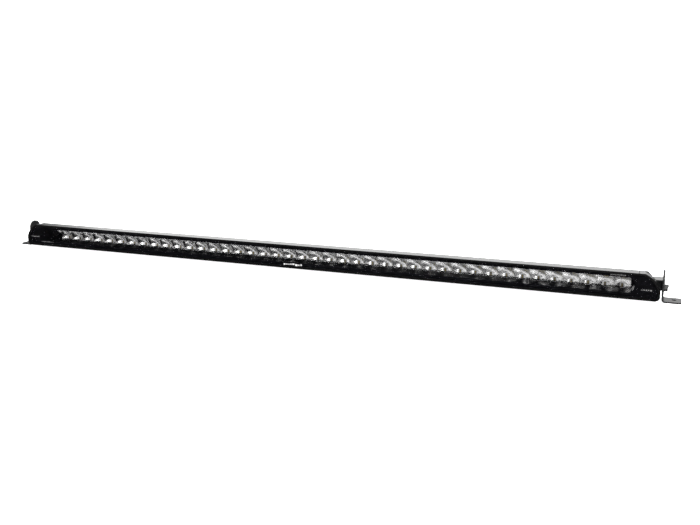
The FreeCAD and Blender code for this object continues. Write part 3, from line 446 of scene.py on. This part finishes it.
def add_floor(bm, x, mouth_y, vertex, floor_z, below):
    """Flat floor of one cup, with its long slot and half of each slot beside it."""
    half, small, main = PITCH / 2, PITCH / 2 - SMALL_SLOT / 2, MAIN_SLOT / 2
    inner = [-main + 2 * main * k / FLOOR_STEPS for k in range(FLOOR_STEPS + 1)]
    xs = [-half, -small] + inner + [small, half]
    front, back = mouth_y + SLOT_FRONT, mouth_y + SLOT_BACK

    def rear(dx):
        return vertex - cup_depth(math.hypot(dx, below))

    for left, right in zip(xs, xs[1:]):
        middle = abs(left + right) / 2
        slotted = middle < main or middle > small
        bands = [((mouth_y, mouth_y), (front, front)), ((back, back), (rear(left), rear(right)))]
        if not slotted:
            bands.append(((front, front), (back, back)))
        for (a, b), (c, d) in bands:
            add_strip(bm, [(x + left, a, floor_z), (x + right, b, floor_z)],
                      [(x + left, c, floor_z), (x + right, d, floor_z)])


def reflector(index):
    """Visible reflector of one module, in place of its plain CAD solid."""
    node = "reflector_module_%d" % index
    low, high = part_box(node)
    middle = (low.x + high.x) / 2
    mouth_y, vertex = low.y, high.y + VERTEX_GAP
    axis_z, floor_z = low.z + AXIS_ABOVE, low.z + FLOOR_ABOVE
    above = high.z - FACE_MARGIN - axis_z
    bm = bmesh.new()
    for cell in range(CELLS):
        x = middle + (cell + 0.5 - CELLS / 2) * PITCH
        add_cup(bm, x, mouth_y, vertex, axis_z, axis_z - floor_z, above)
        add_floor(bm, x, mouth_y, vertex, floor_z, axis_z - floor_z)
    add_rect(bm, low.x, high.x, mouth_y, low.z, floor_z)
    add_rect(bm, low.x, high.x, mouth_y, high.z - FACE_MARGIN, high.z)
    obj = add_object("reflector_%d" % index, mesh_from("reflector_%d" % index, bm, SMOOTH_ANGLE), "lamp",
                     "metallised_reflector")
    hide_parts(node)


def emitters(index):
    """LED packages of one module: bevelled base, phosphor plate and moulded dome."""
    node = "led_emitters_%d" % index
    low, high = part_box(node)
    middle_x = (low.x + high.x) / 2
    middle_z = (low.z + high.z) / 2
    bases, plates, domes = bmesh.new(), bmesh.new(), bmesh.new()
    for cell in range(CELLS):
        x = middle_x + (cell + 0.5 - CELLS / 2) * PITCH
        front = high.y - LED_BASE
        add_block(bases, (x, high.y - LED_BASE / 2, middle_z), (2 * LED_HALF, LED_BASE, 2 * LED_HALF))
        add_block(plates, (x, front - PLATE_THICK / 2, middle_z), (PLATE_SIZE, PLATE_THICK, PLATE_SIZE))
        add_dome(domes, (x, front, middle_z))
    pieces = [("led_base_%d", bases, "white_board"), ("led_plate_%d", plates, "led_phosphor"),
              ("led_dome_%d", domes, "lens_clear")]
    for name, bm, slot in pieces:
        obj = add_object(name % index, mesh_from(name % index, bm, SMOOTH_ANGLE), "lamp", slot)
        if slot == "white_board":
            obj.data.materials[0] = MATERIALS["led_base"]
            edge = obj.modifiers.new("edges", "BEVEL")
            edge.width, edge.segments = LED_BASE_EDGE, EDGE_SEGMENTS
            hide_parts(node)
        if slot == "lens_clear":
            obj.data.materials[0] = MATERIALS["led_dome"]


def add_block(bm, centre, size):
    made = bmesh.ops.create_cube(bm, size=1.0)
    bmesh.ops.scale(bm, vec=size, verts=made["verts"])
    bmesh.ops.translate(bm, vec=centre, verts=made["verts"])


def add_dome(bm, foot):
    """Moulded dome: a short skirt under a slightly flattened half ball."""
    tall = LED_DOME - DOME_FLATTEN
    rows = [(LED_DOME * DOME_SKIRT, 0.0), (LED_DOME, DOME_SKIRT_TALL)]
    rows += [(LED_DOME * math.cos(a), DOME_SKIRT_TALL + tall * math.sin(a))
             for a in (math.pi / 2 * k / DOME_RINGS for k in range(1, DOME_RINGS + 1))]
    rings = []
    for r, out in rows:
        ring = []
        for t in range(DOME_TURNS):
            turn = 2 * math.pi * t / DOME_TURNS
            ring.append(bm.verts.new((foot[0] + r * math.cos(turn), foot[1] - out,
                                      foot[2] + r * math.sin(turn))))
        rings.append(ring)
    for inner, outer in zip(rings, rings[1:]):
        for t in range(DOME_TURNS):
            after = (t + 1) % DOME_TURNS
            bm.faces.new((inner[t], inner[after], outer[after], outer[t]))


# ---------- printed marks ----------

def marks():
    """Rows of short dashes on the lens, where bars like this one carry small print."""
    lens_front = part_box("front_lens")[0].y
    y0, y1 = lens_front - MARK_OUT, lens_front + MARK_IN
    dice = random.Random(MARK_SEED)
    for name, centre_x, centre_z, width, tall, tone in MARK_ROWS:
        bm = bmesh.new()
        x = centre_x - width / 2
        while x < centre_x + width / 2:
            wide = tall * dice.uniform(*DASH_WIDTH)
            lift = tall * dice.uniform(*DASH_LIFT)
            centre = (x + wide / 2, (y0 + y1) / 2, centre_z + lift)
            add_block(bm, centre, (wide, y1 - y0, tall * dice.uniform(*DASH_HEIGHT)))
            x += wide + tall * dice.uniform(*DASH_GAP)
        obj = add_object(name, mesh_from(name, bm), "lamp", "gloss_bezel")
        obj.data.materials[0] = MATERIALS[tone]


# ---------- stage ----------

def white_surface(name, emission):
    s = Shader(name)
    s.surface(0.9, specular=0.0)
    s.bsdf.inputs["Base Color"].default_value = (0.85, 0.85, 0.85, 1)
    s.bsdf.inputs["Emission Color"].default_value = (1, 1, 1, 1)
    s.bsdf.inputs["Emission Strength"].default_value = emission
    return s.material


def stage():
    """Plain pale floor and a white backdrop that only the camera sees."""
    bpy.ops.mesh.primitive_plane_add(size=FLOOR_SIZE)
    floor = bpy.context.object
    floor.name = "floor"
    floor.data.materials.append(white_surface("floor_white", FLOOR_GLOW))
    floor.visible_glossy = False
    bpy.ops.mesh.primitive_uv_sphere_add(radius=BACKDROP_RADIUS, segments=48, ring_count=24)
    dome = bpy.context.object
    dome.name = "backdrop"
    dome.data.materials.append(white_surface("backdrop_white", BACKDROP_GLOW))
    dome.visible_glossy = False
    dome.visible_diffuse = False
    dome.visible_transmission = False
    dome.visible_shadow = False


def world():
    """Studio surroundings: a bright front with one dark band, and cards behind the bar."""
    made = bpy.data.worlds.new("studio")
    bpy.context.scene.world = made
    made.use_nodes = True
    tree = made.node_tree
    background = tree.nodes["Background"]
    coords = tree.nodes.new("ShaderNodeTexCoord")
    split = tree.nodes.new("ShaderNodeSeparateXYZ")
    tree.links.new(coords.outputs["Generated"], split.inputs["Vector"])

    def m(kind, a, b):
        node = tree.nodes.new("ShaderNodeMath")
        node.operation = kind
        for socket, value in zip(node.inputs, (a, b)):
            if isinstance(value, (int, float)):
                socket.default_value = value
            else:
                tree.links.new(value, socket)
        return node.outputs[0]

    def step(value, start, end):
        node = tree.nodes.new("ShaderNodeMapRange")
        node.interpolation_type = "SMOOTHSTEP"
        node.inputs["From Min"].default_value = start
        node.inputs["From Max"].default_value = end
        tree.links.new(value, node.inputs["Value"])
        return node.outputs["Result"]

    r = math.radians
    x, y, z = split.outputs
    back = m("ARCTAN2", x, y)
    front = m("ARCTAN2", x, m("MULTIPLY", y, -1.0))
    # rear part, mirrored by the top surface
    card = m("MULTIPLY", step(back, r(-44), r(-36)), step(back, r(25), r(-8)))
    gap = m("MULTIPLY", step(back, r(-100), r(-80)), step(back, r(-36), r(-44)))
    rear = m("ADD", m("SUBTRACT", REAR_LEVEL, m("MULTIPLY", gap, GAP_DROP)),
             m("MULTIPLY", card, CARD_RISE))
    rear = m("MULTIPLY", rear, step(z, -0.03, 0.08))
    # front part, mirrored by the face and the cups
    dark = m("MULTIPLY", step(front, r(-75), r(-60)), step(front, r(35), r(15)))
    dark = m("MULTIPLY", dark, m("MULTIPLY", step(z, -0.55, -0.45), step(z, 0.05, -0.02)))
    ahead = m("MULTIPLY", m("SUBTRACT", 1.0, dark), FRONT_LEVEL)
    side = step(y, -0.05, 0.05)
    level = m("ADD", m("MULTIPLY", rear, side), m("MULTIPLY", ahead, m("SUBTRACT", 1.0, side)))
    tree.links.new(level, background.inputs["Strength"])
    background.inputs["Color"].default_value = (1, 1, 1, 1)


def area_light(name, place, target, size, power):
    light = bpy.data.lights.new(name, "AREA")
    light.shape = "RECTANGLE"
    light.size, light.size_y = size
    light.energy = power
    obj = bpy.data.objects.new(name, light)
    bpy.context.scene.collection.objects.link(obj)
    obj.location = place
    obj.rotation_euler = (Vector(target) - Vector(place)).to_track_quat("-Z", "Y").to_euler()
    obj.visible_camera = False


def lights():
    area_light("overhead", (0.0, -0.3, 2.4), (0, 0, 0), (3.0, 2.0), 60)
    area_light("front_right", (1.6, -2.2, 1.2), (0.2, 0, 0), (1.6, 1.2), 40)
    area_light("edge_strip", (2.9, -0.3, 1.5), (0.55, 0, 0), (0.5, 1.6), 60)


def camera():
    data = bpy.data.cameras.new("camera")
    data.lens = CAMERA_LENS
    data.sensor_width = SENSOR_WIDTH
    data.clip_start, data.clip_end = CLIP
    obj = bpy.data.objects.new("camera", data)
    bpy.context.scene.collection.objects.link(obj)
    turn = (Matrix.Rotation(CAMERA_YAW, 4, "Z")
            @ Matrix.Rotation(math.pi / 2 - CAMERA_PITCH, 4, "X")
            @ Matrix.Rotation(CAMERA_ROLL, 4, "Z"))
    obj.matrix_world = Matrix.Translation(CAMERA_PLACE) @ turn
    bpy.context.scene.camera = obj


# ---------- build ----------

MATERIALS = make_materials()
camera()
stage()
world()
lights()
bpy.context.scene.view_settings.view_transform = "Standard"
dress_nodes(MATERIALS)
for module in range(1, MODULES + 1):
    reflector(module)
    emitters(module)
marks()
